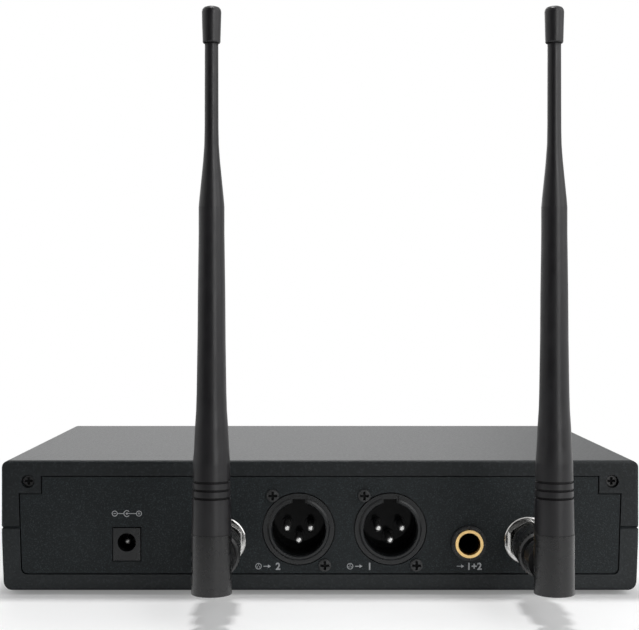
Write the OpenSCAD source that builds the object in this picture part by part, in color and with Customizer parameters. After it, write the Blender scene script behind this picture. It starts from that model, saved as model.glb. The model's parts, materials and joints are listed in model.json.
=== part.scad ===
// Half-rack dual wireless microphone receiver with two rod antennas. All sizes are in mm.
// +Z is up, the rear face looks towards -Y and the front controls face +Y.
// The origin is on the resting surface, under the middle of the case.

/* [Case] */
// Width of the case across the top
body_w = 215.5; // [205:0.5:225]
// Height of the case without its feet
body_h = 44; // [43:0.5:48]
// Depth of the case from the rear border to the front border
body_d = 130; // [120:1:160]
// Wall thickness of both case halves
wall = 2.5; // [2:0.1:3]
// Thickness of the case walls that carry the two panels
end_wall = 4; // [3.6:0.1:5]
// Height of the seam between the case halves, above the case bottom
seam_z = 21.3; // [20:0.1:24]
// How far each lower side leans in at the bottom
side_lean = 1; // [0.4:0.1:2]
// Radius of the two long upper edges
top_r = 3; // [2.6:0.1:4]
// Radius of the two long lower edges
low_r = 3.4; // [2.8:0.1:4]
// Radius of the case edges around its front and rear ends
end_r = 1.2; // [0.6:0.1:2]
// Half-width of the V groove that marks the seam
groove = 0.6; // [0.3:0.1:0.9]
// How far the rubber feet stand out
foot_h = 1.6; // [1.2:0.1:4]
// Radius of a rubber foot
foot_r = 6; // [5:0.5:8]

/* [Rear panel] */
// Width of the border beside the plates
border = 6.25; // [5.5:0.05:8]
// Lower edge of the rear plate above the case bottom
plate_lo = 5.8; // [5.4:0.1:6]
// Distance of the rear plate's upper edge below the case top
plate_top = 5.6; // [5:0.1:6]
// Thickness of the rear plate
plate_t = 1.5; // [1:0.1:1.8]
// How far the rear plate lies inside the border
plate_in = 0.3; // [0.1:0.1:0.6]
// Gap around the plates in the case
plate_gap = 0.35; // [0.15:0.05:0.4]
// Width of each corner tab
tab_w = 7.5; // [7:0.1:10]
// Height of the notch at each corner tab
tab_h = 5.9; // [4.5:0.1:7]
// Distance of each corner screw from the end of the plate
tab_screw_in = 2.8; // [2.4:0.1:4]
// Distance of the corner screws below the case top
tab_screw_top = 7.1; // [6:0.1:8]

/* [Rear connectors] */
// Sideways place of antenna jack A
bnc_a_x = 70.3; // [68:0.1:72]
// Sideways place of antenna jack B
bnc_b_x = -33.1; // [-36:0.1:-32]
// Height of both antenna jacks
bnc_z = 16.8; // [16:0.1:18]
// How far an antenna jack stands out of the plate
bnc_out = 18.5; // [17:0.1:19.5]
// Outer radius of an antenna jack barrel
bnc_r = 4.8; // [4.75:0.01:4.85]
// Inner radius of an antenna jack barrel
bnc_bore = 4.07; // [4.05:0.01:4.1]
// Sideways place of XLR socket A
xlr_a_x = 23.75; // [22.75:0.05:24.75]
// Sideways place of XLR socket B
xlr_b_x = -7.2; // [-8.2:0.05:-6.2]
// Height of both XLR sockets
xlr_z = 20.8; // [20.4:0.1:21.6]
// Inner radius of an XLR cup
xlr_cup_r = 9; // [8.9:0.05:9.4]
// Depth of an XLR cup
xlr_depth = 14.5; // [14:0.1:15]
// Sideways place of the 6.35 mm output jack
out_x = 50.2; // [49:0.1:51]
// Height of the output jack
out_z = 16.1; // [15.6:0.1:18]
// Bore radius of the output jack
out_r = 3.25; // [3.2:0.01:3.3]
// Sideways place of the power socket
dc_x = -65.3; // [-75:0.1:-60]
// Bore radius of the power socket
dc_r = 3.1; // [3:0.05:3.2]

/* [Front controls] */
// Distance of volume knob A from the end of the front panel
knob_a_in = 17.5; // [14:0.5:20]
// Distance of volume knob B from the other end
knob_b_in = 37.5; // [34:0.5:42]
// Radius of a volume knob
knob_r = 8.2; // [7:0.1:9]
// Length of a volume knob
knob_l = 12.5; // [9:0.5:16]
// Distance between the middle of a knob and its channel's buttons
keys_off = 18; // [15:0.5:22]
// Travel of a small button
key_travel = 0.5; // [0.3:0.1:0.6]
// Distance of the power button from the end of the front panel
power_in = 15.5; // [12:0.5:18]
// Travel of the power button
power_travel = 1.5; // [1:0.1:1.6]
// Distance from the middle of a button to the display window
window_off = 12; // [8:0.5:20]
// Height of the display window
window_h = 24; // [18:0.5:26]

/* [Antennas] */
// Outer radius of the bayonet collar
collar_r = 6.9; // [6.7:0.1:7.2]
// Radius over the knurled ring
knurl_r = 7.5; // [7.3:0.1:8]
// Radius of the antenna base barrel
base_r = 6.2; // [6:0.1:6.6]
// Distance from the collar mouth to the elbow pin
elbow_l = 38; // [37.5:0.1:40]
// Outer radius of the elbow yoke
yoke_r = 6.1; // [5.9:0.1:6.4]
// Length of a rod from the elbow pin to its tip
rod_l = 169.5; // [165:0.5:180]
// Half-thickness of the elbow tongue
tongue_x = 2.9; // [2.4:0.1:3.1]

/* [Fits] */
// Running clearance of a turning or sliding shaft
run_gap = 0.06; // [0.03:0.01:0.1]
// Clearance between parts that pass each other
pass_gap = 0.35; // [0.3:0.05:0.5]

/* [Hidden] */
$fn = 48;
rear_y = -body_d / 2;
front_y = body_d / 2;
plate_y = rear_y + plate_in;
plate_hi = body_h - plate_top;
tab_z = plate_hi - tab_h;
tab_screw_z = body_h - tab_screw_top;
mid_z = (plate_lo + plate_hi) / 2;
plate_w = body_w - 2 * border;
tab_x = plate_w / 2 - tab_w;
tab_screw_x = plate_w / 2 - tab_screw_in;
lean_a = atan(side_lean / seam_z);
case_screw = [body_w / 2 - 15.5, body_d / 2 - 17];
foot_at = [case_screw[0] - 6, case_screw[1] - 12];
board_w = 2 * case_screw[0] - 12;
board_screw = [board_w / 2 - 8, body_d / 2 - 21];
case_boss_r = 3.6;
case_head = [2.9, 2.2];
case_head_z = 5.8;
case_shank_r = 1.5;
case_bite = 9;
foot_in = 0.8;
board_z = 7;
board_t = 1.6;
board_top = board_z + board_t;
board_in = 9;
board_end = 16;
board_boss_r = 3;
board_head = [2.6, 1.6];
board_shank_r = 1.15;
shield = [36, 32, 8];
shield_t = 0.5;
shield_in = 28;
screw_head_r = 2.05;
screw_shank_r = 1.35;
recess_w = 0.85;
tab_screw_sunk = 2.2;
tab_screw_l = 10.8;
dc_z = 15.65;
dc_face = [9.2, 11];
dc_pin_r = 1.05;
dc_up = 0.65;
dc_l = 14;
xlr_screws_at = [[-8.8, 11.3], [8.8, -12.2]];
xlr_pins_at = [[-4.05, 0], [4.05, 0], [0, -4.05]];
xlr_body_r = 12;
xlr_body_l = 22;
xlr_rim = 1.4;
xlr_rim_w = 1.5;
xlr_flange_r = 12.9;
xlr_flange_t = 3;
xlr_lug_r = 3;
xlr_pin_r = 1.2;
xlr_pin_back = 24;
xlr_pin_l = 23.2;
xlr_key = [4.4, 1.6, 8];
xlr_latch = [5.8, 2.9, 0.5];
xlr_screw_l = 5.4;
bnc_hex_r = 7.6;
bnc_washer_r = 8.15;
bnc_washer_t = 0.8;
bnc_lining_r = 3;
bnc_contact_r = 1.1;
bnc_back = 8;
out_side = 15;
out_l = 24;
bushing_r = 4.7;
bushing_out = 2.6;
out_nut_r = 5.85;
out_nut_t = 2.1;
fascia_y = front_y - 1.8;
fascia_out = front_y + 1.8;
front_board_y = fascia_y - 9.2;
front_parts_y = front_board_y + board_t;
front_board_z = 8;
front_board_h = 28;
front_boss_z = [12, 32];
front_boss_r = 2.4;
front_boss_in = 4;
lcd_t = 6;
pot_box = [10, 12, 5];
shaft_r = 2.4;
shaft_l = 18;
power_r = 4;
key_size = [7, 4.4];
key_lip = 1.8;
tact_side = 6;
tact_t = 3.5;
knob_a_x = plate_w / 2 - knob_a_in;
knob_b_x = knob_b_in - plate_w / 2;
keys_a_x = knob_a_x - keys_off;
keys_b_x = knob_b_x + keys_off;
power_x = power_in - plate_w / 2;
window_x = (knob_a_x + knob_b_x) / 2;
window_w = keys_a_x - keys_b_x - 2 * window_off;
front_board_w = plate_w - 9;
key_z = 6;
bnc_stand = 8.5;
mouth_y = plate_y - bnc_stand;
jack_tip = bnc_out - bnc_stand;
core_r = 4.9;
stub_r = 2.5;
collar_l = 16.6;
base_from = 18;
tongue_r = 4.5;
elbow_pin_r = 1;
yoke_end = 7.5;
yoke_l = 18;
saddle_r = norm([yoke_end, yoke_r]) + pass_gap;
peg_r = 2.6;
peg_from = 8.2;
cap_l = 11;
cap_peg_r = 1.5;
groove_z = [21.6, 24, 26.4];

// Frames: a child's +Z points out of the rear face, or out of the front face.
module at_rear(x, z)
    translate([x, plate_y, foot_h + z]) rotate([90, 0, 0]) children();

module at_front(x, z, y)
    translate([x, y, foot_h + z]) rotate([-90, 0, 0]) children();

module along_depth(y0, y1)
    translate([0, y1, foot_h]) rotate([90, 0, 0]) linear_extrude(y1 - y0) children();

module both_sides() {
    children();
    mirror([1, 0, 0]) children();
}

// Case profiles, seen from the rear
module upper_profile(inset, r) {
    w = body_w / 2 - inset;
    h = body_h - inset;
    translate([-w, seam_z]) square([2 * w, h - r - seam_z]);
    translate([-w + r, seam_z]) square([2 * (w - r), h - seam_z]);
    for (s = [-1, 1]) translate([s * (w - r), h - r]) circle(r);
}

module lower_profile(inset, r) {
    w = body_w / 2 - inset;
    cx = w - side_lean + (inset + r) * tan(lean_a) - r / cos(lean_a);
    tx = cx + r * cos(lean_a);
    tz = inset + r - r * sin(lean_a);
    polygon([[-w, seam_z], [w, seam_z], [tx, tz], [cx, inset],
             [-cx, inset], [-tx, tz]]);
    for (s = [-1, 1]) translate([s * cx, inset + r]) circle(r);
}

module round_rect(w, h, r) {
    square([w - 2 * r, h], center = true);
    square([w, h - 2 * r], center = true);
    for (x = [-1, 1], y = [-1, 1])
        translate([x * (w / 2 - r), y * (h / 2 - r)]) circle(r);
}

// Rounds the ends of the case: seen from the side and from above
module end_round() {
    translate([-body_w, 0, foot_h + body_h / 2]) rotate([90, 0, 90])
        linear_extrude(2 * body_w) round_rect(body_d, body_h, end_r);
}

module plan_round() {
    linear_extrude(2 * body_h) round_rect(body_w, body_d, end_r);
}

module seam_groove() {
    for (s = [-1, 1]) {
        translate([-body_w, s * front_y, foot_h + seam_z]) rotate([0, 90, 0])
            cylinder(r = groove, h = 2 * body_w, $fn = 4);
        translate([s * body_w / 2, body_d, foot_h + seam_z]) rotate([90, 0, 0])
            cylinder(r = groove, h = 2 * body_d, $fn = 4);
    }
}

// The rear plate, grown by g all round: narrower at the bottom, notched at the tabs
module plate_outline(g) {
    t = plate_w / 2 + g;
    b = t - side_lean * 0.8;
    lo = plate_lo - g;
    hi = plate_hi + g;
    nx = tab_x + g;
    nz = tab_z + g;
    polygon([[-b + 2, lo], [b - 2, lo], [b, lo + 2], [t, nz], [nx, nz], [nx, hi],
             [-nx, hi], [-nx, nz], [-t, nz], [-b, lo + 2]]);
    for (s = [-1, 1]) translate([s * (b - 2), lo + 2]) circle(2);
}

module fascia_outline(g)
    translate([0, mid_z])
        round_rect(plate_w + 2 * g, plate_hi - plate_lo + 2 * g, 3 + g);

// The flange of an XLR socket with its two screw lugs, grown by g
module xlr_flange(g) {
    circle(xlr_flange_r + g);
    for (p = xlr_screws_at) {
        translate(p) circle(xlr_lug_r + g);
        rotate(atan2(p[1], p[0])) translate([0, 0.3 - xlr_lug_r - g])
            square([norm(p), 2 * (xlr_lug_r + g) - 0.6]);
    }
}

// Room for both plates: a pocket each, a smaller opening behind it, and the upper XLR lugs
module plate_room() {
    along_depth(rear_y - 1, plate_y + plate_t) plate_outline(plate_gap);
    along_depth(rear_y - 1, rear_y + end_wall + 1)
        translate([-tab_screw_x + 4.2, plate_lo - plate_gap])
            square([2 * tab_screw_x - 8.4, tab_z - plate_lo]);
    along_depth(rear_y - 1, rear_y + end_wall + 1)
        translate([-tab_x + 4, plate_lo + 1]) square([2 * tab_x - 8, plate_hi - plate_lo - 2.5]);
    for (x = [xlr_a_x, xlr_b_x]) at_rear(x, xlr_z) translate([0, 0, -end_wall - 1])
        linear_extrude(end_wall + 1 - plate_t) intersection() {
            xlr_flange(pass_gap);
            translate([-20, 0]) square([40, 20]);
        }
    along_depth(fascia_y, front_y + 1) fascia_outline(plate_gap);
    along_depth(front_y - end_wall - 1, front_y + 1)
        translate([0, mid_z]) square([plate_w - 6, plate_hi - plate_lo - 5], center = true);
}

module screw_places(p)
    for (x = [-1, 1], y = [-1, 1]) translate([x * p[0], y * p[1], foot_h]) children();

module top_cover() {
    color([0.16, 0.17, 0.18]) difference() {
        union() {
            difference() {
                intersection() {
                    along_depth(rear_y, front_y) upper_profile(0, top_r);
                    end_round();
                    plan_round();
                }
                along_depth(rear_y + end_wall, front_y - end_wall)
                    upper_profile(wall, 1);
                plate_room();
            }
            screw_places(case_screw) translate([0, 0, seam_z])
                cylinder(r = case_boss_r, h = body_h - wall - seam_z + 0.5);
        }
        seam_groove();
        screw_places(case_screw) translate([0, 0, seam_z - 1])
            cylinder(r = case_shank_r + 0.05, h = case_bite + 3);
        both_sides() at_rear(tab_screw_x, tab_screw_z) {
            translate([0, 0, -end_wall - 1]) cylinder(r = screw_shank_r + 0.25, h = end_wall + 3);
            translate([0, 0, -tab_screw_sunk]) cylinder(r = screw_head_r + 0.15, h = 5);
        }
    }
}

module bottom_case() {
    color([0.13, 0.14, 0.15]) difference() {
        union() {
            difference() {
                intersection() {
                    along_depth(rear_y, front_y) lower_profile(0, low_r);
                    end_round();
                    plan_round();
                }
                along_depth(rear_y + end_wall, front_y - end_wall)
                    lower_profile(wall, 1.2);
                plate_room();
            }
            screw_places(case_screw) translate([0, 0, wall - 0.5])
                cylinder(r = 4.4, h = seam_z - wall + 0.5);
            screw_places(board_screw) translate([0, 0, wall - 0.5])
                cylinder(r = board_boss_r, h = board_z - wall + 0.5);
            both_sides() translate([tab_screw_x - case_boss_r, rear_y + end_wall, foot_h + wall - 0.5])
                cube([6.6, 8, body_h - 2 * wall - 0.3]);
        }
        seam_groove();
        screw_places(case_screw) {
            translate([0, 0, -1]) cylinder(r = case_head[0] + 0.3, h = case_head_z + case_head[1] + 1);
            cylinder(r = case_shank_r + 0.1, h = seam_z + 1);
        }
        screw_places(board_screw) translate([0, 0, wall])
            cylinder(r = board_shank_r + 0.05, h = board_top + 0.4);
        screw_places(foot_at)
            translate([0, 0, -1]) cylinder(r = foot_r + 0.1, h = foot_in + 1);
        both_sides() at_rear(tab_screw_x, tab_screw_z)
            translate([0, 0, -tab_screw_sunk - tab_screw_l - 1])
                cylinder(r = screw_shank_r + 0.05, h = tab_screw_sunk + tab_screw_l + 1);
    }
}

module rear_panel() {
    color([0.12, 0.13, 0.14]) difference() {
        along_depth(plate_y, plate_y + plate_t) plate_outline(0);
        for (x = [xlr_a_x, xlr_b_x]) at_rear(x, xlr_z) translate([0, 0, -plate_t - 1]) {
            cylinder(r = xlr_body_r + pass_gap, h = plate_t + 2);
            for (p = xlr_screws_at) translate(p) cylinder(r = 1.6, h = plate_t + 2);
        }
        for (x = [bnc_a_x, bnc_b_x]) at_rear(x, bnc_z) translate([0, 0, -plate_t - 1])
            cylinder(r = bnc_r + 0.1, h = plate_t + 2);
        at_rear(out_x, out_z) translate([0, 0, -plate_t - 1])
            cylinder(r = bushing_r + 0.1, h = plate_t + 2);
        at_rear(dc_x, dc_z) translate([0, 0, -plate_t - 1])
            linear_extrude(plate_t + 2) square([dc_face[0] + 0.6, dc_face[1] + 0.6], center = true);
    }
}

module rear_screws() {
    color([0.08, 0.08, 0.09]) both_sides() at_rear(tab_screw_x, tab_screw_z) difference() {
        union() {
            translate([0, 0, -tab_screw_sunk]) cylinder(r = screw_head_r, h = 0.8);
            translate([0, 0, 0.8 - tab_screw_sunk]) cylinder(r = screw_head_r - 0.3, h = 0.3);
            translate([0, 0, -tab_screw_sunk - tab_screw_l])
                cylinder(r = screw_shank_r, h = tab_screw_l);
        }
        cross_recess(screw_head_r - 0.75, 0.15 - tab_screw_sunk);
    }
}

// A Phillips recess with its floor at height z
module cross_recess(r, z) {
    for (a = [0, 90]) rotate([0, 0, a]) translate([-r, -recess_w / 2, z])
        cube([2 * r, recess_w, 3]);
}

module case_screws() {
    color([0.1, 0.1, 0.11]) screw_places(case_screw) difference() {
        union() {
            translate([0, 0, case_head_z]) cylinder(r = case_head[0], h = case_head[1]);
            translate([0, 0, case_head_z + case_head[1]])
                cylinder(r = case_shank_r, h = seam_z + case_bite - case_head_z - case_head[1]);
        }
        rotate([180, 0, 0]) cross_recess(case_head[0] - 1.2, -case_head_z - 1);
    }
}

module board_screws() {
    color([0.75, 0.75, 0.76]) screw_places(board_screw) difference() {
        union() {
            translate([0, 0, board_top]) cylinder(r = board_head[0], h = board_head[1]);
            translate([0, 0, wall + 0.6]) cylinder(r = board_shank_r, h = board_top - wall);
        }
        cross_recess(board_head[0] - 1.1, board_top + board_head[1] / 2);
    }
}

module rubber_feet() {
    color([0.06, 0.06, 0.06]) screw_places(foot_at)
        translate([0, 0, -foot_h]) cylinder(r = foot_r, h = foot_h + foot_in);
}

module main_board() {
    color([0.05, 0.28, 0.16]) difference() {
        translate([-board_w / 2, rear_y + board_in, foot_h + board_z])
            cube([board_w, body_d - board_in - board_end, board_t]);
        screw_places(board_screw) translate([0, 0, board_z - 1]) cylinder(r = 1.5, h = 4);
    }
}

module rf_shields() {
    color([0.78, 0.79, 0.8]) for (x = [bnc_a_x - 4, bnc_b_x])
        translate([x - shield[0] / 2, rear_y + shield_in, foot_h + board_top]) difference() {
            cube(shield);
            translate([shield_t, shield_t, -1])
                cube([shield[0] - 2 * shield_t, shield[1] - 2 * shield_t, shield[2] + 1 - shield_t]);
        }
}

// Power socket
module dc_housing() {
    color([0.05, 0.05, 0.05]) at_rear(dc_x, dc_z) difference() {
        union() {
            translate([-dc_face[0] / 2, -dc_face[1] / 2, -dc_l])
                cube([dc_face[0], dc_face[1], dc_l + plate_in]);
            translate([-6, -6.4, -plate_t - 1.2]) cube([12, 12.8, 1.2]);
        }
        translate([0, dc_up, 3 - dc_l]) cylinder(r = dc_r, h = dc_l);
        translate([1, -0.7, 3 - dc_l]) cube([2.9, 1.7, 10.2]);
        translate([0, dc_up, 1.5 - dc_l]) cylinder(r = dc_pin_r, h = 3);
    }
}

module dc_pin() {
    color([0.85, 0.85, 0.86]) at_rear(dc_x, dc_z + dc_up) translate([0, 0, 1.5 - dc_l])
        rotate_extrude() polygon([[0, 0], [dc_pin_r, 0], [dc_pin_r, 10.6], [0.8, 11.1],
                                  [0.4, 11.4], [0, 11.4]]);
}

module dc_spring() {
    color([0.8, 0.8, 0.78]) at_rear(dc_x, dc_z) translate([0, 0.7, 0]) rotate([90, 0, 0])
        linear_extrude(1.1) polygon([[3.3, -11], [3.7, -11], [3.7, -7.5], [2.2, -4.6],
            [2.9, -2.2], [2.5, -2], [1.7, -4.6], [3.3, -7.7]]);
}

// XLR sockets, male
module xlr_shell(x) {
    color([0.04, 0.04, 0.045]) at_rear(x, xlr_z) {
        difference() {
            union() {
                translate([0, 0, -xlr_body_l]) cylinder(r = xlr_body_r, h = xlr_body_l + plate_in);
                rotate_extrude() polygon([[0, 0], [xlr_cup_r + xlr_rim_w, 0],
                                          [xlr_cup_r + xlr_rim_w, xlr_rim - 0.5],
                                          [xlr_cup_r + xlr_rim_w - 0.5, xlr_rim], [0, xlr_rim]]);
                translate([0, 0, -plate_t - xlr_flange_t]) linear_extrude(xlr_flange_t) xlr_flange(0);
            }
            translate([0, 0, xlr_rim - xlr_depth]) cylinder(r = xlr_cup_r, h = xlr_depth + 1);
            rotate_extrude() polygon([[0, xlr_rim - 0.5], [xlr_cup_r, xlr_rim - 0.5],
                                      [xlr_cup_r + 0.4, xlr_rim + 0.1], [0, xlr_rim + 0.1]]);
            translate([-xlr_key[0] / 2, xlr_cup_r - 0.6, -xlr_key[2]])
                cube([xlr_key[0], xlr_key[1], xlr_key[2] + xlr_rim + 1]);
            translate([-xlr_latch[0] / 2, xlr_cup_r - 0.6, -xlr_latch[2]])
                cube([xlr_latch[0], xlr_latch[1], xlr_rim + 1]);
            for (p = xlr_pins_at) translate([p[0], p[1], -xlr_pin_back])
                cylinder(r = xlr_pin_r, h = xlr_pin_back + xlr_rim + 1 - xlr_depth);
            for (p = xlr_screws_at) translate([p[0], p[1], -plate_t - xlr_flange_t - 1])
                cylinder(r = screw_shank_r, h = xlr_flange_t + 2);
        }
        for (p = xlr_pins_at) translate([p[0], p[1], xlr_rim - 0.2 - xlr_depth]) difference() {
            cylinder(r = xlr_pin_r + 0.8, h = 1);
            translate([0, 0, -1]) cylinder(r = xlr_pin_r, h = 3);
        }
    }
}

module xlr_pins() {
    color([0.86, 0.86, 0.88]) for (x = [xlr_a_x, xlr_b_x]) at_rear(x, xlr_z)
        for (p = xlr_pins_at) translate([p[0], p[1], -xlr_pin_back]) rotate_extrude()
            polygon([[0, 0], [xlr_pin_r, 0], [xlr_pin_r, xlr_pin_l - 1],
                     [xlr_pin_r - 0.08, xlr_pin_l - 0.6], [xlr_pin_r - 0.3, xlr_pin_l - 0.25],
                     [xlr_pin_r - 0.65, xlr_pin_l], [0, xlr_pin_l]]);
}

module xlr_screws() {
    color([0.08, 0.08, 0.09]) for (x = [xlr_a_x, xlr_b_x], p = xlr_screws_at)
        at_rear(x, xlr_z) translate(p) difference() {
            union() {
                cylinder(r = screw_head_r + 0.05, h = 0.8);
                translate([0, 0, 0.8]) cylinder(r = screw_head_r - 0.25, h = 0.3);
                translate([0, 0, 1.1]) cylinder(r = 1.4, h = 0.15);
                translate([0, 0, -xlr_screw_l]) cylinder(r = screw_shank_r - 0.05, h = xlr_screw_l);
            }
            cross_recess(1.5, 0.15);
        }
}

// Antenna jacks
module bnc_body(x) {
    color([0.82, 0.82, 0.84]) at_rear(x, bnc_z) difference() {
        union() {
            translate([0, 0, -plate_t]) cylinder(r = bnc_r, h = bnc_out + plate_t);
            translate([0, 0, -plate_t - 2.5]) cylinder(r = bnc_hex_r, h = 2.5, $fn = 6);
            translate([-5, -5, -plate_t - 12]) cube([10, 10, 10]);
            translate([0, 0, bnc_out - 4.7]) rotate([0, 90, 0])
                cylinder(r = 0.95, h = 11.1, center = true);
            for (p = [-3.8, 3.8], q = [-4, -10])
                translate([p - 0.6, board_top - bnc_z, q - plate_t - 0.6])
                    cube([1.2, 4, 1.2]);
        }
        translate([0, 0, bnc_out - 6.5]) cylinder(r = bnc_bore, h = 8);
        translate([0, 0, -plate_t - bnc_back]) cylinder(r = bnc_lining_r, h = bnc_out + bnc_back);
        for (z = [4.6, 5.6, 6.6, 7.6, 8.6, 9.6]) translate([0, 0, z]) difference() {
            cylinder(r = 6, h = 0.45);
            translate([0, 0, -1]) cylinder(r = 4.62, h = 3);
        }
    }
}

module bnc_nuts() {
    color([0.8, 0.8, 0.82]) for (x = [bnc_a_x, bnc_b_x]) at_rear(x, bnc_z)
        translate([0, 0, bnc_washer_t]) difference() {
            intersection() {
                rotate([0, 0, 30]) cylinder(r = bnc_hex_r, h = 2.7, $fn = 6);
                cylinder(r = bnc_hex_r - 0.4, h = 2.7);
            }
            translate([0, 0, -1]) cylinder(r = bnc_r, h = 5);
        }
}

module bnc_washers() {
    color([0.78, 0.78, 0.8]) for (x = [bnc_a_x, bnc_b_x]) at_rear(x, bnc_z) difference() {
        rotate_extrude() polygon([[0, 0], [bnc_washer_r, 0], [bnc_washer_r, bnc_washer_t - 0.3],
                                  [bnc_washer_r - 0.3, bnc_washer_t], [0, bnc_washer_t]]);
        translate([0, 0, -1]) cylinder(r = bnc_r, h = 3);
    }
}

module bnc_insulators() {
    color([0.93, 0.9, 0.82]) for (x = [bnc_a_x, bnc_b_x]) at_rear(x, bnc_z) difference() {
        translate([0, 0, -plate_t - bnc_back])
            cylinder(r = bnc_lining_r, h = plate_t + bnc_back + bnc_out - 2);
        translate([0, 0, -plate_t - bnc_back - 1]) cylinder(r = bnc_contact_r, h = bnc_out + 20);
    }
}

module bnc_contacts() {
    color([0.83, 0.65, 0.3]) for (x = [bnc_a_x, bnc_b_x]) at_rear(x, bnc_z) difference() {
        translate([0, 0, -plate_t - bnc_back])
            cylinder(r = bnc_contact_r, h = plate_t + bnc_back + bnc_out - 1.8);
        translate([0, 0, bnc_out - 8]) cylinder(r = 0.75, h = 10);
    }
}

// Output jack, 6.35 mm
module out_body() {
    color([0.05, 0.05, 0.055]) at_rear(out_x, out_z) difference() {
        translate([-out_side / 2, -out_side / 2, -plate_t - out_l])
            cube([out_side, out_side, out_l]);
        translate([0, 0, -plate_t - out_l + 2]) cylinder(r = out_r, h = out_l);
    }
}

module out_bushing() {
    color([0.85, 0.66, 0.28]) at_rear(out_x, out_z) difference() {
        translate([0, 0, -plate_t]) cylinder(r = bushing_r, h = plate_t + bushing_out);
        translate([0, 0, -plate_t - 1]) cylinder(r = out_r, h = plate_t + bushing_out + 2);
        translate([0, 0, bushing_out - 0.4]) rotate_extrude()
            polygon([[0, -0.3], [out_r, -0.3], [out_r + 0.6, 0.6], [0, 0.6]]);
    }
}

module out_nut() {
    color([0.05, 0.05, 0.055]) at_rear(out_x, out_z) difference() {
        union() {
            cylinder(r = out_nut_r, h = out_nut_t - 0.5);
            translate([0, 0, out_nut_t - 0.5]) cylinder(r = out_nut_r - 0.35, h = 0.5);
        }
        translate([0, 0, -1]) cylinder(r = bushing_r, h = out_nut_t + 2);
        for (a = [0 : 45 : 135]) rotate([0, 0, a])
            translate([-out_nut_r - 1, -0.4, out_nut_t - 0.6])
                cube([2 * out_nut_r + 2, 0.8, 2]);
    }
}

// Front
module front_panel() {
    color([0.1, 0.11, 0.12]) difference() {
        union() {
            along_depth(fascia_y, fascia_out) fascia_outline(0);
            both_sides() for (z = front_boss_z)
                at_front(front_board_w / 2 - front_boss_in, z, front_parts_y)
                    cylinder(r = front_boss_r, h = fascia_y - front_board_y);
        }
        at_front(window_x, mid_z, fascia_out - 1.4)
            linear_extrude(3) round_rect(window_w + 0.2, window_h + 0.2, 2.1);
        at_front(window_x, mid_z, fascia_y - 1)
            linear_extrude(6) square([window_w - 5, window_h - 5], center = true);
        for (x = [knob_a_x, knob_b_x]) at_front(x, mid_z, fascia_y - 1)
            cylinder(r = shaft_r + 1.2, h = 8);
        at_front(power_x, mid_z, fascia_y - 1) cylinder(r = power_r + pass_gap, h = 8);
        for (x = [keys_a_x, keys_b_x], z = [-key_z, key_z]) at_front(x, mid_z + z, fascia_y - 1)
            linear_extrude(8)
                round_rect(key_size[0] + 2 * pass_gap, key_size[1] + 2 * pass_gap, 1);
    }
}

module display_window() {
    color([0.1, 0.12, 0.14]) at_front(window_x, mid_z, fascia_out - 1.4)
        linear_extrude(1.4) round_rect(window_w, window_h, 2);
}

module lcd_module() {
    color([0.35, 0.4, 0.36]) at_front(window_x, mid_z, front_parts_y) difference() {
        translate([-window_w / 2 + 1, -window_h / 2 + 1, 0])
            cube([window_w - 2, window_h - 2, lcd_t]);
        translate([-window_w / 2 + 5, -window_h / 2 + 4, lcd_t - 0.5])
            cube([window_w - 10, window_h - 8, 2]);
    }
}

module front_board() {
    color([0.05, 0.28, 0.16])
        translate([-front_board_w / 2, front_board_y, foot_h + front_board_z])
            cube([front_board_w, board_t, front_board_h]);
}

module pot_housing(x) {
    color([0.6, 0.6, 0.62]) at_front(x, mid_z, front_parts_y) difference() {
        union() {
            translate([-pot_box[0] / 2, -pot_box[1] / 2, 0]) cube(pot_box);
            cylinder(r = shaft_r + 1.1, h = 9.5);
        }
        translate([0, 0, 0.8]) cylinder(r = shaft_r + run_gap, h = 12);
    }
}

module pot_shaft(x) {
    color([0.75, 0.75, 0.77]) at_front(x, mid_z, front_parts_y)
        translate([0, 0, 1.2]) cylinder(r = shaft_r, h = shaft_l);
}

module knob(x) {
    color([0.07, 0.07, 0.075]) at_front(x, mid_z, fascia_out + 0.5) difference() {
        union() {
            cylinder(r = knob_r, h = 1.6);
            linear_extrude(knob_l - 0.8) polygon([
                for (i = [0 : 71]) let (r = knob_r - (i % 2 == 0 ? 0.3 : 0.7))
                    [r * cos(i * 5), r * sin(i * 5)]]);
            translate([0, 0, knob_l - 0.8]) cylinder(r = knob_r - 1.1, h = 0.8);
        }
        translate([0, 0, -1])
            cylinder(r = shaft_r, h = front_parts_y - fascia_out + shaft_l + 4.2);
        translate([-0.4, -knob_r - 1, knob_l - 0.5]) cube([0.8, 5, 2]);
    }
}

module power_switch() {
    color([0.15, 0.15, 0.16]) at_front(power_x, mid_z, front_parts_y) difference() {
        translate([-4.5, -4.5, 0]) cube([9, 9, 3.4]);
        translate([0, 0, 0.4]) cylinder(r = 1.5 + run_gap, h = 5);
    }
}

module power_button() {
    color([0.07, 0.07, 0.075]) at_front(power_x, mid_z, front_parts_y) {
        translate([0, 0, 2.4]) cylinder(r = 1.5, h = 4);
        translate([0, 0, 5.4]) cylinder(r = power_r + 1.2, h = 1.6);
        translate([0, 0, 6]) cylinder(r = power_r, h = 7.6);
        translate([0, 0, 13.6]) cylinder(r = power_r - 0.4, h = 0.4);
    }
}

module tact_switches() {
    color([0.2, 0.2, 0.21]) for (x = [keys_a_x, keys_b_x], z = [-key_z, key_z])
        at_front(x, mid_z + z, front_parts_y)
            translate([-tact_side / 2, -tact_side / 2, 0]) cube([tact_side, tact_side, tact_t]);
}

module key(x, z) {
    color([0.2, 0.21, 0.22]) at_front(x, mid_z + z, front_parts_y) {
        translate([0, 0, tact_t + 1]) linear_extrude(1.6)
            round_rect(key_size[0] + key_lip, key_size[1] + key_lip, 1);
        translate([0, 0, tact_t + 1.5]) linear_extrude(7.6)
            round_rect(key_size[0], key_size[1], 1);
    }
}

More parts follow.
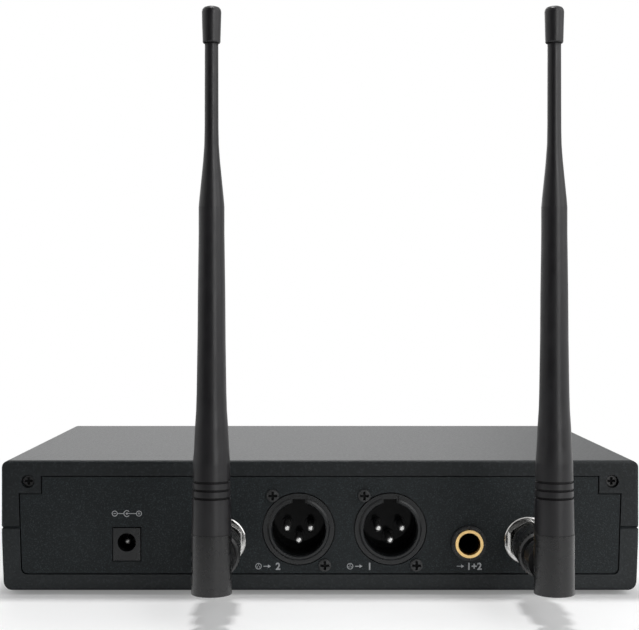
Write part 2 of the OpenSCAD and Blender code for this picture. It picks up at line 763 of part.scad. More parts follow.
// Antennas: a child's +Z runs from the collar mouth away from the receiver
module at_mouth(x)
    translate([x, mouth_y, foot_h + bnc_z]) rotate([90, 0, 0]) children();

// The same place with +Z along the rod, which stands up when the antenna is at rest
module at_elbow(x)
    at_mouth(x) translate([0, 0, elbow_l]) rotate([-90, 0, 0]) children();

module ant_core(x) {
    color([0.55, 0.55, 0.56]) at_mouth(x) difference() {
        union() {
            translate([0, 0, jack_tip - 5.6]) cylinder(r = bnc_bore - 0.07, h = 6.5);
            translate([0, 0, jack_tip + pass_gap]) cylinder(r = 5.5, h = 1.8);
            translate([0, 0, 11]) cylinder(r = core_r, h = 6.8);
            translate([0, 0, 17]) cylinder(r = stub_r, h = 8);
        }
        translate([0, 0, jack_tip - 7]) cylinder(r = 3.35, h = 7 + pass_gap);
        translate([0, 0, jack_tip - 1]) cylinder(r = 0.67, h = 8);
        for (a = [0, 60, 120]) rotate([0, 0, a]) translate([-6, -0.4, jack_tip - 6])
            cube([12, 0.8, 3]);
    }
}

module ant_contact(x) {
    color([0.83, 0.65, 0.3]) at_mouth(x) translate([0, 0, jack_tip - 5]) rotate_extrude()
        polygon([[0, 0], [0.4, 0], [0.67, 0.6], [0.67, 11], [0, 11]]);
}

module ant_collar(x) {
    color([0.05, 0.05, 0.055]) at_mouth(x) difference() {
        union() {
            rotate_extrude() polygon([[0, 0], [collar_r - 0.5, 0], [collar_r, 0.5],
                                      [collar_r, 12], [0, 12]]);
            translate([0, 0, 12]) rotate_extrude()
                polygon([[0, 0], [collar_r, 0], [knurl_r - 0.2, 0.9], [0, 0.9]]);
            translate([0, 0, 12.9]) linear_extrude(collar_l - 12.9) polygon([
                for (i = [0 : 71]) let (r = knurl_r - (i % 2 == 0 ? 0 : 0.35))
                    [r * cos(i * 5), r * sin(i * 5)]]);
            translate([0, 0, collar_l]) rotate_extrude()
                polygon([[0, 0], [knurl_r - 0.2, 0], [knurl_r - 0.9, 0.9], [0, 0.9]]);
        }
        translate([0, 0, -1]) cylinder(r = 5.85, h = 13.6);
        translate([0, 0, 10]) cylinder(r = core_r + run_gap, h = 10);
    }
}

module ant_base(x) {
    color([0.05, 0.05, 0.055]) at_mouth(x) difference() {
        union() {
            difference() {
                union() {
                    translate([0, 0, base_from]) cylinder(r = base_r - 0.7, h = 2.5);
                    translate([0, 0, base_from + 2]) rotate_extrude()
                        polygon([[0, 0], [base_r - 0.3, 0], [base_r, 0.3],
                                 [base_r, elbow_l - base_from - 2], [0, elbow_l - base_from - 2]]);
                }
                translate([0, 0, elbow_l]) rotate([0, 90, 0])
                    cylinder(r = saddle_r, h = 30, center = true);
            }
            translate([-tongue_x, -tongue_r, elbow_l - 11])
                cube([2 * tongue_x, 2 * tongue_r, 11]);
            translate([-tongue_x, 0, elbow_l]) rotate([0, 90, 0])
                cylinder(r = tongue_r, h = 2 * tongue_x);
        }
        translate([0, 0, base_from - 1]) cylinder(r = stub_r + run_gap, h = 8.4);
        translate([0, 0, elbow_l]) rotate([0, 90, 0])
            cylinder(r = elbow_pin_r + run_gap, h = 30, center = true);
    }
}

module ant_yoke(x) {
    color([0.1, 0.1, 0.11]) at_elbow(x) difference() {
        translate([0, 0, -yoke_end]) cylinder(r = yoke_r, h = yoke_l);
        translate([0, 0, -yoke_end - 0.5]) cylinder(r = yoke_r - 1.2, h = 4);
        translate([-tongue_x - pass_gap, 0, 0]) rotate([90, 0, 90])
            linear_extrude(2 * (tongue_x + pass_gap))
                polygon([[-4.85, -9], [8, -9], [8, 9.5], [-4.85, 4.9]]);
        rotate([0, 90, 0]) cylinder(r = elbow_pin_r, h = 30, center = true);
        both_sides() translate([yoke_r - 0.35, 0, 0]) rotate([0, 90, 0])
            cylinder(r = elbow_pin_r + 0.4, h = 2);
        translate([0, 0, peg_from]) cylinder(r = peg_r, h = 4);
    }
}

module ant_pin(x) {
    color([0.3, 0.3, 0.31]) at_elbow(x) rotate([0, 90, 0])
        cylinder(r = elbow_pin_r, h = 2 * yoke_r - 0.1, center = true);
}

// Radius of the rod at heights above the elbow pin
rod_shape = [
    [6, 10.5], [5.9, 16], [5.8, 21], [5.6, 32], [5.25, 37], [5, 42.7], [4.65, 48],
    [4.5, 53], [4.25, 69], [4.15, 83], [3.9, 101], [3.9, 109], [3.65, 112],
    [3.15, 117], [2.55, 123], [2.2, 128], [2.1, 133]
];

module ant_rod(x) {
    color([0.04, 0.04, 0.045]) at_elbow(x) difference() {
        union() {
            rotate_extrude() polygon(concat([[0, 10.5]], rod_shape,
                [[2.05, rod_l - cap_l], [0, rod_l - cap_l]]));
            translate([0, 0, peg_from]) cylinder(r = peg_r, h = 3);
            translate([0, 0, rod_l - cap_l - 1]) cylinder(r = cap_peg_r, h = cap_l - 2);
        }
        for (z = groove_z) translate([0, 0, z - 0.35]) difference() {
            cylinder(r = 9, h = 0.7);
            translate([0, 0, -1]) cylinder(r = 5.4, h = 3);
        }
    }
}

module ant_cap(x) {
    color([0.05, 0.05, 0.055]) at_elbow(x) translate([0, 0, rod_l - cap_l]) difference() {
        rotate_extrude() polygon([[0, 0], [2.5, 0], [2.7, 0.3], [2.95, cap_l - 1.6],
                                  [2.8, cap_l - 0.9], [2.4, cap_l - 0.35],
                                  [1.6, cap_l], [0, cap_l]]);
        translate([0, 0, -1]) cylinder(r = cap_peg_r, h = cap_l - 2);
    }
}

top_cover();
bottom_case();
rear_panel();
front_panel();
display_window();
lcd_module();
front_board();
main_board();
rf_shields();
rear_screws();
case_screws();
board_screws();
rubber_feet();
dc_housing();
dc_pin();
dc_spring();
xlr_shell(xlr_a_x);  // xlr_a_shell
xlr_shell(xlr_b_x);  // xlr_b_shell
xlr_pins();
xlr_screws();
bnc_body(bnc_a_x);  // bnc_a_body
bnc_body(bnc_b_x);  // bnc_b_body
bnc_nuts();
bnc_washers();
bnc_insulators();
bnc_contacts();
out_body();
out_bushing();
out_nut();
pot_housing(knob_a_x);  // pot_a
pot_housing(knob_b_x);  // pot_b
pot_shaft(knob_a_x);  // shaft_a
pot_shaft(knob_b_x);  // shaft_b
knob(knob_a_x);  // knob_a
knob(knob_b_x);  // knob_b
power_switch();
power_button();
tact_switches();
key(keys_a_x, key_z);  // key_a_up
key(keys_a_x, -key_z);  // key_a_set
key(keys_b_x, key_z);  // key_b_up
key(keys_b_x, -key_z);  // key_b_set
ant_core(bnc_a_x);  // ant_a_core
ant_contact(bnc_a_x);  // ant_a_contact
ant_collar(bnc_a_x);  // ant_a_collar
ant_base(bnc_a_x);  // ant_a_base
ant_yoke(bnc_a_x);  // ant_a_yoke
ant_pin(bnc_a_x);  // ant_a_pin
ant_rod(bnc_a_x);  // ant_a_rod
ant_cap(bnc_a_x);  // ant_a_cap
ant_core(bnc_b_x);  // ant_b_core
ant_contact(bnc_b_x);  // ant_b_contact
ant_collar(bnc_b_x);  // ant_b_collar
ant_base(bnc_b_x);  // ant_b_base
ant_yoke(bnc_b_x);  // ant_b_yoke
ant_pin(bnc_b_x);  // ant_b_pin
ant_rod(bnc_b_x);  // ant_b_rod
ant_cap(bnc_b_x);  // ant_b_cap
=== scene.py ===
"""Half-rack wireless microphone receiver: materials, printed marks, studio and camera."""

import json
import math

import bmesh
import bpy
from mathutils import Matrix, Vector


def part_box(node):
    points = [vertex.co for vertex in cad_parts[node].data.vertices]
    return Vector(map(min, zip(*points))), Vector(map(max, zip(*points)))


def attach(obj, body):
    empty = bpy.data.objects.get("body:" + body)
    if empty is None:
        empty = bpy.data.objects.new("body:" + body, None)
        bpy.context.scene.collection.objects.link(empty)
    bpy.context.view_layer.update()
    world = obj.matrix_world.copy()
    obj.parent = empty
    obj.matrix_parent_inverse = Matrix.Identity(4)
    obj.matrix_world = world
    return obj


MM = 0.001

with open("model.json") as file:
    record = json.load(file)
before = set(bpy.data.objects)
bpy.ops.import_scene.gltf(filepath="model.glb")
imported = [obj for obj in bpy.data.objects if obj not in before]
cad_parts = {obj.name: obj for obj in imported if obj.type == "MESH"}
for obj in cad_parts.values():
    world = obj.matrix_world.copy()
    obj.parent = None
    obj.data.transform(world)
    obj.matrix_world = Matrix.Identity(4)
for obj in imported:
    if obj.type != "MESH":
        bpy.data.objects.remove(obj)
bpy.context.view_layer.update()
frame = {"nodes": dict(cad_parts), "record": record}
scene = bpy.context.scene
nodes = frame["nodes"]


# ---------------------------------------------------------------- materials
def new_material(name):
    mat = bpy.data.materials.new(name)
    mat.use_nodes = True
    tree = mat.node_tree
    return mat, tree, tree.nodes["Principled BSDF"]


def add(tree, kind, inputs=None, **props):
    """A shader node with its properties and inputs set; an output given as an input is linked."""
    n = tree.nodes.new(kind)
    for key, v in props.items():
        setattr(n, key, v)
    for key, v in (inputs or {}).items():
        if isinstance(v, bpy.types.NodeSocket):
            tree.links.new(v, n.inputs[key])
        else:
            n.inputs[key].default_value = v
    return n


def noise(tree, vector, scale, detail=2.0):
    return add(tree, "ShaderNodeTexNoise", {"Vector": vector, "Scale": scale,
                                            "Detail": detail}).outputs["Fac"]


def span(tree, value, low, high, out_low, out_high, smooth=False):
    """A value carried from one range to another, and held at its ends."""
    return add(tree, "ShaderNodeMapRange", {"Value": value, "From Min": low, "From Max": high,
                                            "To Min": out_low, "To Max": out_high},
               interpolation_type="SMOOTHSTEP" if smooth else "LINEAR").outputs["Result"]


def math_node(tree, operation, a, b):
    return add(tree, "ShaderNodeMath", {0: a, 1: b}, operation=operation).outputs[0]


def mix(tree, share, first, second):
    return add(tree, "ShaderNodeMixRGB", {"Fac": share, "Color1": first, "Color2": second}).outputs[0]


def tones(tree, value, low, high, at=(0.3, 0.7)):
    """A colour between two, chosen by a value that is held outside the two places."""
    ramp = add(tree, "ShaderNodeValToRGB", {"Fac": value})
    for element, color, place in zip(ramp.color_ramp.elements, (low, high), at):
        element.color = (*color, 1)
        element.position = place
    return ramp.outputs["Color"]


# Painted shade in the deepest recess or groove: the share of black, what is left of the shine, and the added
# roughness
DARKEST = 0.7
SHINE_LEFT = 0.3
DULLED = 0.6
CREVICE_FREE = (0.7, 0.98)  # how open a place is where it is darkest, and where nothing is darkened
SPECKLE_NOISE = (0.52, 0.74)  # the noise values at which a speckle begins, and is full
COAT_ROUGHNESS = 0.04
SMOOTHEST = 0.02


def finish(name, color, roughness, metallic=0.0, tone=0.15, tone_scale=60.0, rough_var=0.06,
           rough_scale=240.0, grain_scale=2500.0, grain=0.0, depth=0.00002, coat=0.0, specular=0.5,
           stretch=None, speckle=None, edge=0.0, shade_depths=None, shade_groove=0.0):
    """A surface with uneven colour, uneven gloss, a fine relief, and softened edges where edge is given.

    Two places along Y may be given for painted shade: from the first to the second the surface gets dark.
    A groove width may be given for painted shade in the grooves of that width, which ambient occlusion finds.
    """
    mat, tree, bsdf = new_material(name)
    coord = add(tree, "ShaderNodeTexCoord").outputs["Object"]
    if stretch:
        coord = add(tree, "ShaderNodeMapping", {"Vector": coord, "Scale": stretch}).outputs["Vector"]
    body = tones(tree, noise(tree, coord, tone_scale, 4.0), [c * (1 - tone) for c in color],
                 [min(1.0, c * (1 + tone)) for c in color])
    if speckle:
        dots = span(tree, noise(tree, coord, grain_scale, 1.0), *SPECKLE_NOISE, 0.0, 1.0)
        body = mix(tree, dots, body, (*speckle, 1))
    bsdf.inputs["Specular IOR Level"].default_value = specular
    shade = None
    # Painted shade that grows along Y between two places
    if shade_depths:
        y = add(tree, "ShaderNodeSeparateXYZ", {"Vector": coord}).outputs["Y"]
        shade = span(tree, y, shade_depths[0], shade_depths[1], 0.0, DARKEST, True)
    # Painted shade in grooves, where ambient occlusion finds little open space
    if shade_groove:
        free = add(tree, "ShaderNodeAmbientOcclusion", {"Distance": shade_groove}, samples=6).outputs["AO"]
        shade = span(tree, free, *CREVICE_FREE, DARKEST, 0.0)
    # The painted shade darkens the colour, takes away shine and adds roughness
    if shade:
        body = mix(tree, shade, body, (0, 0, 0, 1))
        shine = span(tree, shade, 0.0, DARKEST, specular, SHINE_LEFT * specular)
        tree.links.new(shine, bsdf.inputs["Specular IOR Level"])
    tree.links.new(body, bsdf.inputs["Base Color"])
    gloss = span(tree, noise(tree, coord, rough_scale, 3.0), 0.3, 0.7,
                 max(SMOOTHEST, roughness - rough_var), min(1.0, roughness + rough_var))
    if shade:
        gloss = math_node(tree, "ADD", gloss, math_node(tree, "MULTIPLY", shade, DULLED))
    tree.links.new(gloss, bsdf.inputs["Roughness"])
    bsdf.inputs["Metallic"].default_value = metallic
    bsdf.inputs["Coat Weight"].default_value = coat
    bsdf.inputs["Coat Roughness"].default_value = COAT_ROUGHNESS
    normal = add(tree, "ShaderNodeBevel", {"Radius": edge}, samples=4).outputs["Normal"] if edge else None
    if grain:
        bump = add(tree, "ShaderNodeBump", {"Strength": grain, "Distance": depth,
                                            "Height": noise(tree, coord, grain_scale)})
        if normal:
            tree.links.new(normal, bump.inputs["Normal"])
        normal = bump.outputs["Normal"]
    if normal:
        tree.links.new(normal, bsdf.inputs["Normal"])
    return mat


plate_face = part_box("rear_panel")[0].y


def fade(start, end):
    """Painted shade between two depths in mm behind the face of the rear plate; a negative one is before it.
    """
    return plate_face + start * MM, plate_face + end * MM


# What the two halves of the case share, and all black screws
MOULDED = dict(tone=0.08, rough_var=0.03, rough_scale=1100, grain=1.0, grain_scale=1500, depth=0.00010)
BLACK_STEEL = dict(tone_scale=900, grain=0.3, grain_scale=3500, edge=0.00012)

LOOKS = {
    "case_plastic": finish("case_plastic", (0.0100, 0.0121, 0.0130), 0.45, specular=0.24,
                           speckle=(0.019, 0.022, 0.024), **MOULDED),
    "panel_paint": finish("panel_paint", (0.0080, 0.0106, 0.0117), 0.5, tone=0.12, rough_var=0.03,
                          rough_scale=1100, grain=0.8, grain_scale=2400, depth=0.00007, specular=0.22,
                          speckle=(0.025, 0.033, 0.036)),
    "fascia_plastic": finish("fascia_plastic", (0.0095, 0.0100, 0.0110), 0.36, grain=0.3, grain_scale=2600,
                             depth=0.00004, specular=0.35),
    "window_acrylic": finish("window_acrylic", (0.004, 0.0045, 0.005), 0.07, tone=0.3, rough_var=0.02,
                             coat=0.6),
    "display_glass": finish("display_glass", (0.06, 0.07, 0.062), 0.25),
    "board": finish("board", (0.01, 0.075, 0.035), 0.35, tone=0.3, grain=0.3, grain_scale=900,
                    depth=0.00003),
    "tinned_steel": finish("tinned_steel", (0.55, 0.55, 0.56), 0.34, metallic=1.0, stretch=(1, 1, 12),
                           grain=0.2, grain_scale=700),
    "black_screw": finish("black_screw", (0.016, 0.0165, 0.017), 0.34, tone=0.35, **BLACK_STEEL),
    "zinc_screw": finish("zinc_screw", (0.5, 0.51, 0.53), 0.3, metallic=1.0, tone_scale=700),
    "foot_rubber": finish("foot_rubber", (0.011, 0.011, 0.011), 0.85, grain=0.6, grain_scale=2200,
                          depth=0.00006),
    # The sockets get painted shade inside them, from 0.4 mm to 4 mm behind the face of the rear plate
    "socket_plastic": finish("socket_plastic", (0.0074, 0.0084, 0.0092), 0.3, tone=0.12, grain=0.12,
                             grain_scale=3600, depth=0.00002, specular=0.35, edge=0.00015,
                             coat=0.12, shade_depths=fade(0.4, 4.0)),
    "nickel": finish("nickel", (0.66, 0.655, 0.64), 0.14, metallic=1.0, tone=0.08, tone_scale=420,
                     rough_var=0.05, rough_scale=900, edge=0.0002),
    "silver_pin": finish("silver_pin", (0.6, 0.6, 0.59), 0.11, metallic=1.0, tone=0.05, tone_scale=700,
                         rough_var=0.03, rough_scale=1400),
    "gold": finish("gold", (0.72, 0.50, 0.22), 0.17, metallic=1.0, tone=0.14, tone_scale=500,
                   rough_scale=1100, edge=0.00015),
    "ptfe": finish("ptfe", (0.66, 0.60, 0.49), 0.5, tone=0.06, grain=0.2, grain_scale=1600),
    "knob_plastic": finish("knob_plastic", (0.010, 0.010, 0.011), 0.4, grain=0.4, grain_scale=2800,
                           depth=0.00004, edge=0.0002),
    "key_plastic": finish("key_plastic", (0.022, 0.023, 0.025), 0.42, grain=0.4, grain_scale=2800,
                          depth=0.00004, edge=0.0002),
    "antenna_metal": finish("antenna_metal", (0.0080, 0.0080, 0.0084), 0.28, tone=0.2, grain=0.3,
                            grain_scale=3200, depth=0.00002, edge=0.00015),
    # The rod gets painted shade in its grooves, found by ambient occlusion within 3 mm
    "rod_rubber": finish("rod_rubber", (0.0080, 0.0075, 0.0088), 0.36, tone=0.12, grain=0.4,
                         grain_scale=2400, depth=0.00003, shade_groove=0.003),
}

# Pieces whose look differs from the rest of their slot, mostly by painted shade; the bottom case by painted
# light
OWN_LOOKS = {
    # The bottom case is about a quarter lighter than the top cover: painted light on the lower half of the
    # case
    "bottom_case": finish("lower_case_painted_lighter", (0.0128, 0.0153, 0.0165), 0.45, specular=0.26,
                          speckle=(0.022, 0.026, 0.028), **MOULDED),
    # The barrel socket's pin is darkened, as painted shade inside the socket
    "dc_pin": finish("shaded_dull_pin", (0.30, 0.30, 0.29), 0.36, metallic=1.0, tone=0.1, tone_scale=900),
    # Painted shade darkens the cross recess and the head's sides, from 0.9 mm to 0.4 mm before the plate's
    # face
    "xlr_screws": finish("face_screw", (0.020, 0.021, 0.022), 0.34, tone=0.3, shade_depths=fade(-0.9, -0.4),
                         **BLACK_STEEL),
    # Painted shade darkens each tab screw's recess, from 1.2 mm to 1.8 mm behind the plate's face
    "rear_screws": finish("tab_screw", (0.016, 0.0165, 0.017), 0.34, tone=0.3, shade_depths=fade(1.2, 1.8),
                          **BLACK_STEEL),
    # Painted shade darkens the pins deep in the cups, from 0.8 mm to 1.2 mm behind the plate's face
    "xlr_pins": finish("deep_pin", (0.6, 0.6, 0.59), 0.12, metallic=1.0, tone=0.05, tone_scale=700,
                       rough_var=0.03, rough_scale=1400, shade_depths=fade(0.8, 1.2)),
    # The barrel socket's spring is darkened, as painted shade inside the socket
    "dc_spring": finish("shaded_dull_spring", (0.26, 0.25, 0.23), 0.4, metallic=1.0, tone=0.15, tone_scale=900),
}

slots = {s["node"]: s["material_slot"] for s in frame["record"]["subparts"]}
for name, obj in nodes.items():
    obj.data.materials.clear()
    obj.data.materials.append(OWN_LOOKS.get(name) or LOOKS[slots[name]])


# ---------------------------------------------------------------- printed marks
# In this section lengths are in mm, and places on a face are (x, z) in mm, unless it says otherwise.
def print_material():
    mat, tree, bsdf = new_material("grey_print")
    coord = add(tree, "ShaderNodeTexCoord").outputs["Object"]
    ink = tones(tree, noise(tree, coord, 3000.0, 3.0), (0.24, 0.25, 0.26), (0.38, 0.39, 0.40), (0.35, 0.6))
    tree.links.new(ink, bsdf.inputs["Base Color"])
    bsdf.inputs["Roughness"].default_value = 0.6
    return mat


PRINT = print_material()


def ring(cx, cz, r, width, start=0.0, end=360.0, steps=40):
    """The four-sided faces of a flat arc, with angles in degrees from +X."""
    near, far = r - width / 2, r + width / 2
    out = []
    for i in range(steps):
        a, b = (math.radians(start + (end - start) * k / steps) for k in (i, i + 1))
        out.append([(cx + q * math.cos(t), cz + q * math.sin(t))
                    for q, t in ((near, a), (far, a), (far, b), (near, b))])
    return out


def bar(x0, z0, x1, z1, width):
    """A straight stroke from one point to another."""
    d = Vector((x1 - x0, z1 - z0)).normalized() * (width / 2)
    n = Vector((-d.y, d.x))
    return [[(x0 + n.x, z0 + n.y), (x0 - n.x, z0 - n.y), (x1 - n.x, z1 - n.y), (x1 + n.x, z1 + n.y)]]


def disc(cx, cz, r, steps=24):
    turn = math.tau / steps
    return [[(cx + r * math.cos(turn * k), cz + r * math.sin(turn * k)) for k in range(steps)]]


DIGIT_SHARE = 0.7  # the height of a numeral as a share of the font's size
BOLDER = 0.028  # how far the outline of a numeral is moved out, as a share of the font's size


def digits(text, cx, cz, height):
    """The faces of plain numerals, centred on a point."""
    curve = bpy.data.curves.new("numeral", "FONT")
    curve.body = text
    curve.size = height / DIGIT_SHARE
    curve.align_x = "CENTER"
    curve.offset = BOLDER * curve.size
    holder = bpy.data.objects.new("numeral", curve)
    scene.collection.objects.link(holder)
    bpy.context.view_layer.update()
    mesh = bpy.data.meshes.new_from_object(holder.evaluated_get(bpy.context.evaluated_depsgraph_get()))
    faces = [[(mesh.vertices[i].co.x + cx, mesh.vertices[i].co.y + cz - height / 2) for i in p.vertices]
             for p in mesh.polygons]
    bpy.data.objects.remove(holder)
    bpy.data.curves.remove(curve)
    bpy.data.meshes.remove(mesh)
    return faces


INK = 0.02 * MM  # how thick the print is


def inked(name, faces, put, outward, cuts, body):
    """Flat faces in mm, put in their place in metres by a function and printed there.

    Outward gives the way that a face should look, and cuts is how often each edge is cut so that it can bend.
    """
    bm = bmesh.new()
    for face in faces:
        bm.faces.new([bm.verts.new((u, v, 0)) for u, v in face])
    bmesh.ops.remove_doubles(bm, verts=bm.verts, dist=1e-4)
    if cuts:
        bmesh.ops.triangulate(bm, faces=bm.faces)
        bmesh.ops.subdivide_edges(bm, edges=bm.edges, cuts=cuts, use_grid_fill=True)
    for v in bm.verts:
        v.co = put(v.co.x, v.co.y)
    bm.normal_update()
    for f in bm.faces:
        if f.normal.dot(outward(f.calc_center_median())) < 0:
            f.normal_flip()
    mesh = bpy.data.meshes.new(name)
    bm.to_mesh(mesh)
    bm.free()
    mesh.materials.append(PRINT)
    obj = bpy.data.objects.new(name, mesh)
    scene.collection.objects.link(obj)
    thick = obj.modifiers.new("ink", "SOLIDIFY")
    thick.thickness = INK
    thick.offset = -1
    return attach(obj, body)


def printed(name, faces, y, outward, body="case"):
    """Marks as (x, z) faces on a flat face at y (metres) that looks towards outward * Y."""
    return inked(name, faces, lambda u, v: Vector((u * MM, y + outward * INK, v * MM)),
                 lambda at: Vector((0, outward, 0)), 0, body)


def wrapped(name, faces, axis, y, r, body):
    """Marks around a barrel that lies along Y, with its axis at axis (x, z); their top points to -Y."""
    def put(u, v):
        a = u * MM / r
        return Vector((axis[0] - (r + INK) * math.sin(a), y - v * MM, axis[1] + (r + INK) * math.cos(a)))

    return inked(name, faces, put, lambda at: Vector((at.x - axis[0], 0, at.z - axis[1])), 3, body)


def middle(node):
    lo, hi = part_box(node)
    return (lo + hi) / 2 / MM


def numerals(text, cx, cz, height, flip=1):
    """Numerals for the rear face, or with flip -1 for the front face, which is read from the other side."""
    return [[(cx + flip * (x - cx), z) for x, z in face] for face in digits(text, cx, cz, height)]


THIN, MEDIUM, BOLD = 0.22, 0.26, 0.32  # strokes


def polarity_sign(cx, cz):
    """The usual sign of a barrel socket with a positive centre."""
    reach, pole_r, arm, dot_r = 4.1, 0.86, 0.4, 0.36
    minus, plus = cx - reach, cx + reach
    faces = []
    for pole in (minus, plus):
        faces += ring(pole, cz, pole_r, 0.24)
        faces += bar(pole - arm, cz, pole + arm, cz, THIN)
    faces += bar(plus, cz + THIN / 2, plus, cz + arm, THIN) + bar(plus, cz - arm, plus, cz - THIN / 2, THIN)
    faces += ring(cx, cz, 1.0, MEDIUM, 40, 320) + disc(cx, cz, dot_r)
    faces += bar(cx - 3.2, cz, cx - 1.1, cz, THIN) + bar(cx + dot_r, cz, cx + 3.2, cz, THIN)
    return faces


def socket_sign(cx, cz):
    """A round three-pole socket with an arrow out of it."""
    faces = ring(cx, cz, 0.95, THIN)
    for px, pz in ((0, 0.45), (-0.39, -0.23), (0.39, -0.23)):
        faces += disc(cx + px, cz + pz, 0.19, 12)
    return faces + arrow(cx + 1.7, cz)


def arrow(x, cz):
    """An arrow that starts at x and points to +X."""
    neck = x + 1.5
    return bar(x, cz, neck, cz, MEDIUM) + [[(neck, cz + 0.6), (neck, cz - 0.6), (neck + 1.0, cz)]]


def aerial_sign(cx, cz):
    top, foot, neck = cz + 0.95, cz - 0.95, cz + 0.5
    return bar(cx, foot, cx, neck, MEDIUM) + [[(cx - 0.9, top), (cx + 0.9, top), (cx, neck)]]


# The rear face: a row of labels under the sockets, and a sign over the power inlet
LABEL_Z, LABEL_H = 9.8, 2.3
AERIAL_Z = LABEL_Z - 0.4
dc = middle("dc_housing")
rear = polarity_sign(dc.x, dc.z + 10.35)
for channel, shell, body in (("1", "xlr_a_shell", "bnc_a_body"), ("2", "xlr_b_shell", "bnc_b_body")):
    x = middle(shell).x - 10.6
    rear += socket_sign(x - 3.0, LABEL_Z) + numerals(channel, x + 3.6, LABEL_Z, LABEL_H)
    x = middle(body).x
    rear += aerial_sign(x - 1.6, AERIAL_Z) + numerals(channel, x + 1.6, AERIAL_Z, LABEL_H)
jack = middle("out_nut")
rear += arrow(jack.x - 4.0, LABEL_Z) + numerals("1+2", jack.x + 1.9, LABEL_Z, LABEL_H)
printed("rear_marks", rear, plate_face, -1)

# The front face: a scale from 0 to 10 round each knob, signs at the keys, and a power sign
SCALE_R, TICK, LONG_TICK, SCALE_NUMERAL_R = 9.6, 0.9, 1.6, 12.9
SCALE_START, SCALE_STEP = 240, 30  # degrees
fascia_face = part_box("front_panel")[1].y
front = []
for channel, side in (("1", "a"), ("2", "b")):
    knob = middle(f"knob_{side}")
    for step in range(11):
        a = math.radians(SCALE_START - SCALE_STEP * step)
        long = step % 5 == 0
        near, far = SCALE_R, SCALE_R + (LONG_TICK if long else TICK)
        front += bar(knob.x - near * math.cos(a), knob.z + near * math.sin(a),
                     knob.x - far * math.cos(a), knob.z + far * math.sin(a), 0.3)
        if long:
            front += numerals(str(step), knob.x - SCALE_NUMERAL_R * math.cos(a),
                              knob.z + SCALE_NUMERAL_R * math.sin(a), 1.7, -1)
    up, low = middle(f"key_{side}_up"), middle(f"key_{side}_set")
    front += [[(up.x - 0.9, up.z + 3.3), (up.x + 0.9, up.z + 3.3), (up.x, up.z + 4.5)]]
    front += ring(low.x, low.z - 4.0, 0.7, 0.28)
    front += numerals(channel, up.x, up.z + 7.6, 2.6, -1)
power = middle("power_button")
power_z = power.z + 8.6
front += ring(power.x, power_z, 1.2, BOLD, 120, 420) + bar(power.x, power_z, power.x, power.z + 10.2, BOLD)
printed("front_marks", front, fascia_face, 1)

# A line in the slot of each knob, and the channel's numeral on each antenna barrel
SLOT_DEPTH = 0.5 * MM
POINTER_FROM, POINTER_TO, POINTER_WIDTH = 4.35, 7.0, 0.66
NUMERAL_BACK = 7 * MM  # from the barrel's end at the case
for side, channel in (("a", "1"), ("b", "2")):
    lo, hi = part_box(f"knob_{side}")
    x, z = (lo.x + hi.x) / 2 / MM, (lo.z + hi.z) / 2 / MM
    printed(f"pointer_{side}", bar(x, z + POINTER_FROM, x, z + POINTER_TO, POINTER_WIDTH),
            hi.y - SLOT_DEPTH, 1, f"volume_{side}")
    lo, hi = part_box(f"ant_{side}_base")
    wrapped(f"numeral_{side}", digits(channel, 0, 0, 3.0), ((lo.x + hi.x) / 2, (lo.z + hi.z) / 2),
            hi.y - NUMERAL_BACK, (hi.x - lo.x) / 2, f"antenna_{side}_base")


# ---------------------------------------------------------------- studio
def area_light(name, size, power, place, target, size_y=None):
    """A flat lamp of a size in metres and a power in watts, turned from its place to a target."""
    data = bpy.data.lights.new(name, "AREA")
    data.energy = power
    data.shape = "RECTANGLE"
    data.size = size
    data.size_y = size_y or size
    lamp = bpy.data.objects.new(name, data)
    scene.collection.objects.link(lamp)
    lamp.location = place
    lamp.rotation_euler = (Vector(target) - Vector(place)).to_track_quat("-Z", "Y").to_euler()


area_light("key", 0.6, 1.5, (0.42, -0.30, 0.35), (0.05, -0.05, 0.03))
area_light("fill", 0.9, 0.4, (-0.90, -0.60, 0.65), (0, -0.05, 0.03))
area_light("strip", 0.3, 2.2, (0.42, -0.85, 0.24), (0, -0.06, 0.10), 0.8)
area_light("top", 0.2, 8.0, (0.0, 0.12, 1.2), (0, 0, 0))
area_light("back", 0.9, 2.8, (-0.15, 1.0, 0.7), (0, 0, 0.03))


def seen(tree):
    """Two switches: on for what the camera sees, and on for what mirror-like or clear surfaces see."""
    path = add(tree, "ShaderNodeLightPath").outputs
    by_gloss = math_node(tree, "MAXIMUM", path["Is Glossy Ray"], path["Is Transmission Ray"])
    return path["Is Camera Ray"], by_gloss


# The room is white to the camera. In shiny surfaces it is bright beyond the object, and dull on the
# camera's side, from nearly dark on the left to a little brighter on the right.
SOFT_LIGHT = 0.28  # the strength of the even light on the object

world = bpy.data.worlds.new("studio")
scene.world = world
world.use_nodes = True
wt = world.node_tree
soft = wt.nodes["Background"]
soft.inputs["Color"].default_value = (0.9, 0.91, 0.92, 1)
soft.inputs["Strength"].default_value = SOFT_LIGHT
direction = add(wt, "ShaderNodeSeparateXYZ",
                {"Vector": add(wt, "ShaderNodeTexCoord").outputs["Generated"]}).outputs
by_camera, by_gloss = seen(wt)
ahead = span(wt, direction["X"], -0.5, 0.5, 0.03, 0.27)
behind = span(wt, direction["X"], 0.0, 0.6, 0.92, 0.72, True)
level = span(wt, direction["Y"], -0.75, 0.1, ahead, behind, True)
mirrored = add(wt, "ShaderNodeBackground", {"Color": (1, 1, 1, 1), "Strength": level}).outputs[0]
white = add(wt, "ShaderNodeBackground", {"Color": (1, 1, 1, 1), "Strength": 1.0}).outputs[0]
lit = add(wt, "ShaderNodeMixShader", {0: by_gloss, 1: soft.outputs[0], 2: mirrored}).outputs[0]
shown = add(wt, "ShaderNodeMixShader", {0: by_camera, 1: lit, 2: white}).outputs[0]
wt.links.new(shown, wt.nodes["World Output"].inputs["Surface"])

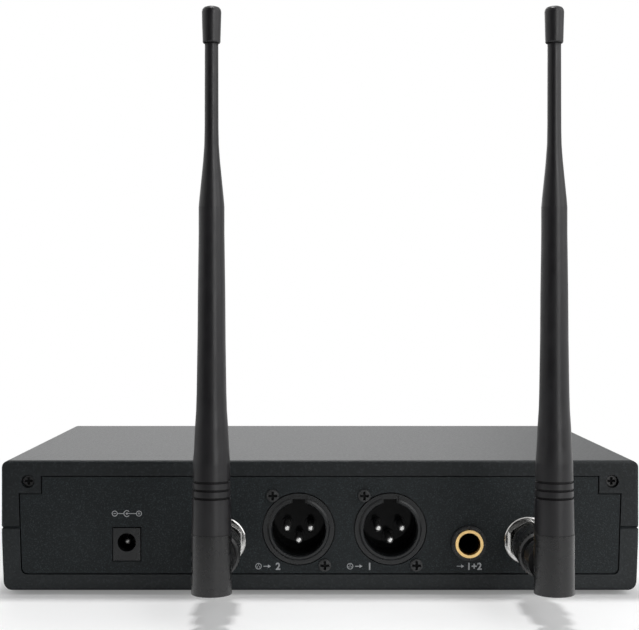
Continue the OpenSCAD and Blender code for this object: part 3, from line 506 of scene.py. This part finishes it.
# The floor keeps the object's shadow, and turns into the white room away from the object.
FLOOR_REACH = 4.0
FADE_START, FADE_END = 0.16, 0.36  # distances from the origin between which the floor turns white
PALEST = 0.2  # how white the camera sees the floor close to the object, as a share

floor_mesh = bpy.data.meshes.new("floor")
corners = ((-1, -1), (1, -1), (1, 1), (-1, 1))
floor_mesh.from_pydata([(x * FLOOR_REACH, y * FLOOR_REACH, 0) for x, y in corners], [], [(0, 1, 2, 3)])
floor = bpy.data.objects.new("floor", floor_mesh)
scene.collection.objects.link(floor)
floor_mat, ft, floor_bsdf = new_material("floor")
coord = add(ft, "ShaderNodeTexCoord").outputs["Object"]
paper = tones(ft, noise(ft, coord, 40.0, 3.0), (0.93, 0.93, 0.93), (0.96, 0.96, 0.96))
ft.links.new(paper, floor_bsdf.inputs["Base Color"])
floor_bsdf.inputs["Roughness"].default_value = 0.7
place = add(ft, "ShaderNodeSeparateXYZ", {"Vector": coord}).outputs
far = span(ft, add(ft, "ShaderNodeVectorMath", {0: coord}, operation="LENGTH").outputs["Value"],
           FADE_START, FADE_END, 0.0, 1.0, True)
by_camera, by_gloss = seen(ft)
# Less of the white shows in the object on the side of the camera, and to the left
dull = math_node(ft, "MULTIPLY", span(ft, place["Y"], -0.6, 0.0, 0.2, 1.0, True),
                 span(ft, place["X"], -0.2, 0.1, 0.25, 1.0, True))
glow = math_node(ft, "ADD", by_camera, math_node(ft, "MULTIPLY", by_gloss, dull))
paper_white = add(ft, "ShaderNodeEmission", {"Color": (1, 1, 1, 1), "Strength": glow}).outputs[0]
turn = math_node(ft, "MAXIMUM",
                 math_node(ft, "MULTIPLY", by_camera, span(ft, far, 0.0, 1.0, PALEST, 1.0)),
                 math_node(ft, "MULTIPLY", by_gloss, far))
near = add(ft, "ShaderNodeMixShader", {0: turn, 1: floor_bsdf.outputs[0], 2: paper_white}).outputs[0]
ft.links.new(near, ft.nodes["Material Output"].inputs["Surface"])
floor.data.materials.append(floor_mat)

# ---------------------------------------------------------------- camera
camera_data = bpy.data.cameras.new("camera")
camera = bpy.data.objects.new("camera", camera_data)
scene.collection.objects.link(camera)
scene.camera = camera
camera_data.sensor_width = 36
camera_data.lens = 72.2254
camera_data.shift_x = 0.014867
camera_data.shift_y = -0.007825
camera.location = (-0.0034, -0.498, 0.0964)
camera.rotation_euler = (math.radians(90), 0, 0)
camera_data.clip_start = 0.01

scene.view_settings.view_transform = "Standard"
